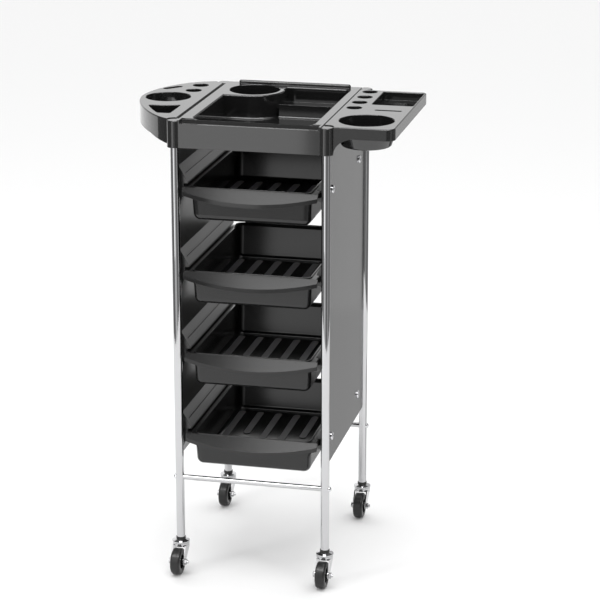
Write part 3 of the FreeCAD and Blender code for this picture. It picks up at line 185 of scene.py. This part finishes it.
REFLECTING_WALLS = [                     # start and end in degrees, foot, top, strength
    ("reflector_front_low", -30, -8, FOOT, STRIP_FOOT, 0.75),
    ("reflector_front_strip", -30, -8, STRIP_FOOT, TOP, 1.6),
    ("reflector_front_middle", -8, 14, FOOT, TOP, 0.65),
    ("reflector_front_right", 14, 62, FOOT, TOP, 0.20),
    ("reflector_strip_right", 62, 70, FOOT, TOP, 0.9),
    ("reflector_right", 70, 150, FOOT, RIGHT_TOP, 0.22),
    ("reflector_back_right", 150, 180, FOOT, BACK_TOP, 0.70),
    ("reflector_back", 180, 262, FOOT, BACK_TOP, 1.25),
    ("reflector_left", -98, -30, FOOT, TOP, 0.20),
    ("reflector_back_above", 70, 262, BACK_TOP, UPPER_TOP, 0.12),
]
REFLECTING_LEVELS = [                    # x range, y range, height, strength
    ("ceiling_left", -1.5, -0.52, -0.9, 0.5, CEILING, 0.2),
    ("ceiling_middle", -0.52, 0.9, -0.9, 0.5, CEILING, 3.4),
    ("ceiling_front", -1.5, 1.5, -1.5, -1.0, CEILING, 12.0),
    ("floor_back_right", 0.16, 1.0, 0.3, 1.6, LOW, 0.64),
]


def add_reflecting_sheet(name, points, faces, strength):
    """Glowing sheet that only reflections see."""
    material, shader = new_material(name)
    shader.inputs["Base Color"].default_value = (0, 0, 0, 1)
    shader.inputs["Specular IOR Level"].default_value = 0.0
    shader.inputs["Emission Color"].default_value = (1, 1, 1, 1)
    shader.inputs["Emission Strength"].default_value = strength
    sheet = add_sheet(name, points, faces, material)
    sheet.visible_camera = False
    sheet.visible_diffuse = False
    sheet.visible_shadow = False
    sheet.visible_transmission = False


def add_wall(name, start, end, foot, top, strength):
    """Curved wall round the cart; its ends are degrees from straight in front, towards +X."""
    steps = max(WALL_FEWEST, round((end - start) / WALL_STEP))
    turns = [math.radians(start + (end - start) * i / steps) for i in range(steps + 1)]
    line = [(math.sin(turn) * WALL_RADIUS, -math.cos(turn) * WALL_RADIUS) for turn in turns]
    points = [(x, y, z) for x, y in line for z in (foot, top)]
    faces = [(2 * i, 2 * i + 2, 2 * i + 3, 2 * i + 1) for i in range(steps)]
    add_reflecting_sheet(name, points, faces, strength)


def add_level(name, x0, x1, y0, y1, z, strength):
    """Level reflecting sheet, overhead or on the floor."""
    add_reflecting_sheet(name, rectangle(x0, x1, y0, y1, z), [(0, 1, 2, 3)], strength)


add_floor()
add_world()
for wall in REFLECTING_WALLS:
    add_wall(*wall)
for level in REFLECTING_LEVELS:
    add_level(*level)
for softbox in SOFTBOXES:
    add_softbox(*softbox)
bpy.context.scene.view_settings.view_transform = "Standard"


# ---------------------------------------------------------------- materials
RELIEF_DEPTH = 0.0005                    # height of a bump at full strength
EDGE = 0.0006                            # softened edge of most mouldings
DECK_EDGE = 0.0009
EDGE_SAMPLES = 4


def add_noise(tree, place, scale, detail):
    """Noise that stays with the object, given as its value socket."""
    noise = tree.nodes.new("ShaderNodeTexNoise")
    noise.inputs["Scale"].default_value = scale
    noise.inputs["Detail"].default_value = detail
    tree.links.new(place.outputs["Object"], noise.inputs["Vector"])
    return noise.outputs["Fac"]


def vary_gloss(tree, shader, noise, roughness, spread):
    """Roughness that follows the noise, by this share either way."""
    gloss = tree.nodes.new("ShaderNodeMapRange")
    gloss.inputs["To Min"].default_value = roughness * (1 - spread)
    gloss.inputs["To Max"].default_value = roughness * (1 + spread)
    tree.links.new(noise, gloss.inputs["Value"])
    tree.links.new(gloss.outputs["Result"], shader.inputs["Roughness"])


def vary_tone(tree, shader, noise, base, darkest, lightest):
    """Colour that follows the noise between two shares of the base."""
    tone = tree.nodes.new("ShaderNodeMix")
    tone.data_type = "RGBA"
    tone.inputs["A"].default_value = tuple(c * darkest for c in base) + (1,)
    tone.inputs["B"].default_value = tuple(c * lightest for c in base) + (1,)
    tree.links.new(noise, tone.inputs["Factor"])
    tree.links.new(tone.outputs["Result"], shader.inputs["Base Color"])


def add_relief(tree, shader, noise, strength):
    """Bump that follows the noise, given as its node."""
    relief = tree.nodes.new("ShaderNodeBump")
    relief.inputs["Strength"].default_value = strength
    relief.inputs["Distance"].default_value = RELIEF_DEPTH
    tree.links.new(noise, relief.inputs["Height"])
    tree.links.new(relief.outputs["Normal"], shader.inputs["Normal"])
    return relief


def plastic(name, base, roughness, shine=0.5, bump=0.02, edge=EDGE):
    """Moulded plastic: fine texture, slightly uneven gloss and tone, and softened edges."""
    material, shader = new_material(name)
    tree = material.node_tree
    shader.inputs["Specular IOR Level"].default_value = shine
    place = tree.nodes.new("ShaderNodeTexCoord")
    cloud = add_noise(tree, place, scale=9.0, detail=3.0)
    vary_gloss(tree, shader, cloud, roughness, spread=0.15)
    vary_tone(tree, shader, cloud, base, darkest=0.9, lightest=1.12)
    grain = add_noise(tree, place, scale=900.0, detail=2.0)
    relief = add_relief(tree, shader, grain, bump)
    rounding = tree.nodes.new("ShaderNodeBevel")
    rounding.samples = EDGE_SAMPLES
    rounding.inputs["Radius"].default_value = edge
    tree.links.new(rounding.outputs["Normal"], relief.inputs["Normal"])
    return material


def metal(name, base, roughness, bump=0.01):
    """Plated metal: faint cloudiness in the gloss and tone, and a slight ripple."""
    material, shader = new_material(name)
    tree = material.node_tree
    shader.inputs["Metallic"].default_value = 1.0
    place = tree.nodes.new("ShaderNodeTexCoord")
    cloud = add_noise(tree, place, scale=30.0, detail=4.0)
    vary_gloss(tree, shader, cloud, roughness, spread=0.3)
    vary_tone(tree, shader, cloud, base, darkest=0.95, lightest=1.0)
    add_relief(tree, shader, cloud, bump)
    return material


BLACK = (0.010, 0.010, 0.010)
HUB_BLACK = (0.012, 0.012, 0.012)
TYRE_BLACK = (0.007, 0.007, 0.007)
# the grip grey is painted light: the black plastic of the bar tops is made lighter to stand in for
# light falling on them from above
GRIP_PAINTED_LIGHT_GREY = (0.11, 0.11, 0.11)
CHROME_GREY = (0.56, 0.56, 0.57)
ZINC_GREY = (0.55, 0.55, 0.56)
BEARING_GREY = (0.60, 0.60, 0.62)
SCREW_GREY = (0.78, 0.78, 0.80)

FINISHES = {
    "deck_plastic": plastic("deck_plastic", BLACK, roughness=0.07, shine=0.85, edge=DECK_EDGE),
    "wing_plastic": plastic("wing_plastic", BLACK, roughness=0.07, shine=0.85, edge=DECK_EDGE),
    "drawer_plastic": plastic("drawer_plastic", BLACK, roughness=0.16),
    "panel_plastic": plastic("panel_plastic", BLACK, roughness=0.16),
    "liner_plastic": plastic("liner_plastic", BLACK, roughness=0.30, shine=0.9),
    "chrome": metal("chrome", CHROME_GREY, roughness=0.05),
    "zinc_steel": metal("zinc_steel", ZINC_GREY, roughness=0.14, bump=0.03),
    "bearing_steel": metal("bearing_steel", BEARING_GREY, roughness=0.15),
    "screw_steel": metal("screw_steel", SCREW_GREY, roughness=0.14),
    "plug_plastic": plastic("plug_plastic", BLACK, roughness=0.5),
    "hub_plastic": plastic("hub_plastic", HUB_BLACK, roughness=0.28),
    "tyre_rubber": plastic("tyre_rubber", TYRE_BLACK, roughness=0.34, bump=0.05),
}
# the grip finish is the drawers' black plastic with painted light: its grey stands in for the lit bar
# tops; the roughness and bump are its own
GRIP_PAINTED_LIGHT_FINISH = plastic("drawer_grip_painted_light", GRIP_PAINTED_LIGHT_GREY, roughness=0.5, bump=0.15)


def dress_nodes():
    """Every CAD node gets the finish of its record slot."""
    for part in frame["record"]["subparts"]:
        node = frame["nodes"][part["node"]]
        node.data.materials.clear()
        node.data.materials.append(FINISHES[part["material_slot"]])


dress_nodes()


# ---------------------------------------------------------------- drawer grips, painted lighter for the light on the bar tops, and rear beads
DRAWERS = (1, 2, 3, 4)

GRIP_BARS = 6                            # thin strips along the tops of each drawer's floor bars; their lighter grey is a painted highlight of the light falling from above
GRIP_BROKEN = (1, 4)                     # bars with a break in the middle, counted from 0
GRIP_PITCH = 0.03728
GRIP_W = 0.0134
GRIP_T = 0.0004
GRIP_LENGTH = 0.2714
GRIP_BREAK = 0.0246
GRIP_FRONT = 0.0483                      # from the lip's front to the strips
GRIP_UP = 0.0035                         # from the drawer's underside to the bars' tops
GRIP_ROUND = 10                          # steps round each end

BEAD_W = 0.0023                          # bead along the top of each drawer's rear upstand
BEAD_H = 0.003
BEAD_HALF_X = 0.0985
BEAD_RAMP = 0.012                        # length over which each end runs out
BEAD_SUNK = 0.0006                       # how far its foot is below the upstand's top
BEAD_SKIRT = 0.9                         # share of that depth below the round top
BEAD_FULLNESS = 0.7                      # power of the sine; under 1 is fuller than an ellipse
BEAD_BACK = 0.00215                      # from the drawer's rearmost edge to the bead's middle
BEAD_ROUND = 8                           # steps over the round top and along each run-out


def add_piece(name, form, finish):
    """Object made of a finished form, in one finish."""
    mesh = bpy.data.meshes.new(name)
    form.to_mesh(mesh)
    form.free()
    mesh.materials.append(finish)
    return add_object(name, mesh)


def join_rings(form, first, second):
    """Band of four-cornered faces between two closed rings of points."""
    for i in range(len(first)):
        j = (i + 1) % len(first)
        form.faces.new((first[i], first[j], second[j], second[i]))


def grip_outline(x, y0, y1):
    """Points round a strip with half-round ends."""
    half = GRIP_W / 2
    points = []
    for end_y, start in ((y1 - half, 0.0), (y0 + half, math.pi)):
        for i in range(GRIP_ROUND + 1):
            turn = start + math.pi * i / GRIP_ROUND
            points.append((x + half * math.cos(turn), end_y + half * math.sin(turn)))
    return points


def add_grips(number):
    """Thin textured strips on the bars of one drawer's floor, in a lighter grey that paints the light
    falling on the bars' tops.
    """
    low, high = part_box(f"drawer_{number}")
    middle = (low[0] + high[0]) / 2
    foot_z = low[2] + GRIP_UP
    y0 = low[1] + GRIP_FRONT
    y1 = y0 + GRIP_LENGTH
    centre = (y0 + y1) / 2
    form = bmesh.new()
    for i in range(GRIP_BARS):
        x = middle + (i - (GRIP_BARS - 1) / 2) * GRIP_PITCH
        spans = [(y0, y1)]
        if i in GRIP_BROKEN:
            spans = [(y0, centre - GRIP_BREAK / 2), (centre + GRIP_BREAK / 2, y1)]
        for start, end in spans:
            outline = grip_outline(x, start, end)
            foot = [form.verts.new((px, py, foot_z)) for px, py in outline]
            top = [form.verts.new((px, py, foot_z + GRIP_T)) for px, py in outline]
            form.faces.new(top)
            form.faces.new(foot[::-1])
            join_rings(form, foot, top)
    grips = add_piece(f"drawer_{number}_grips", form, GRIP_PAINTED_LIGHT_FINISH)
    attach(grips, f"drawer_{number}")


def bead_stations():
    """Places along the bead, from end to end, each with its height there."""
    run_out = []
    for i in range(BEAD_ROUND + 1):
        share = i / BEAD_ROUND
        run_out.append((BEAD_HALF_X - BEAD_RAMP * share, BEAD_H * math.sin(share * math.pi / 2)))
    return [(-x, rise) for x, rise in run_out] + run_out[::-1]


def bead_section(y, z, rise):
    """Outline across the bead: a low upright skirt under a round top."""
    half = BEAD_W / 2
    shoulder = z + BEAD_SUNK * BEAD_SKIRT
    points = [(y - half, z)]
    for i in range(BEAD_ROUND + 1):
        turn = math.pi * (1 - i / BEAD_ROUND)
        points.append((y + half * math.cos(turn), shoulder + rise * math.sin(turn) ** BEAD_FULLNESS))
    points.append((y + half, z))
    return points


def add_rear_bead(number):
    """Rounded bead along one drawer's rear upstand, which runs out to nothing at both ends."""
    low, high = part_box(f"drawer_{number}")
    middle = (low[0] + high[0]) / 2
    y = high[1] - BEAD_BACK
    z = high[2] - BEAD_SUNK
    form = bmesh.new()
    rings = []
    for x, rise in bead_stations():
        section = bead_section(y, z, rise)
        rings.append([form.verts.new((middle + x, py, pz)) for py, pz in section])
    for first, second in zip(rings, rings[1:]):
        join_rings(form, first, second)
    form.faces.new(rings[0][::-1])
    form.faces.new(rings[-1])
    bmesh.ops.recalc_face_normals(form, faces=form.faces)
    bead = add_piece(f"drawer_{number}_rear_bead", form, FINISHES["drawer_plastic"])
    bead.data.shade_smooth()
    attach(bead, f"drawer_{number}")


for number in DRAWERS:
    add_grips(number)
    add_rear_bead(number)
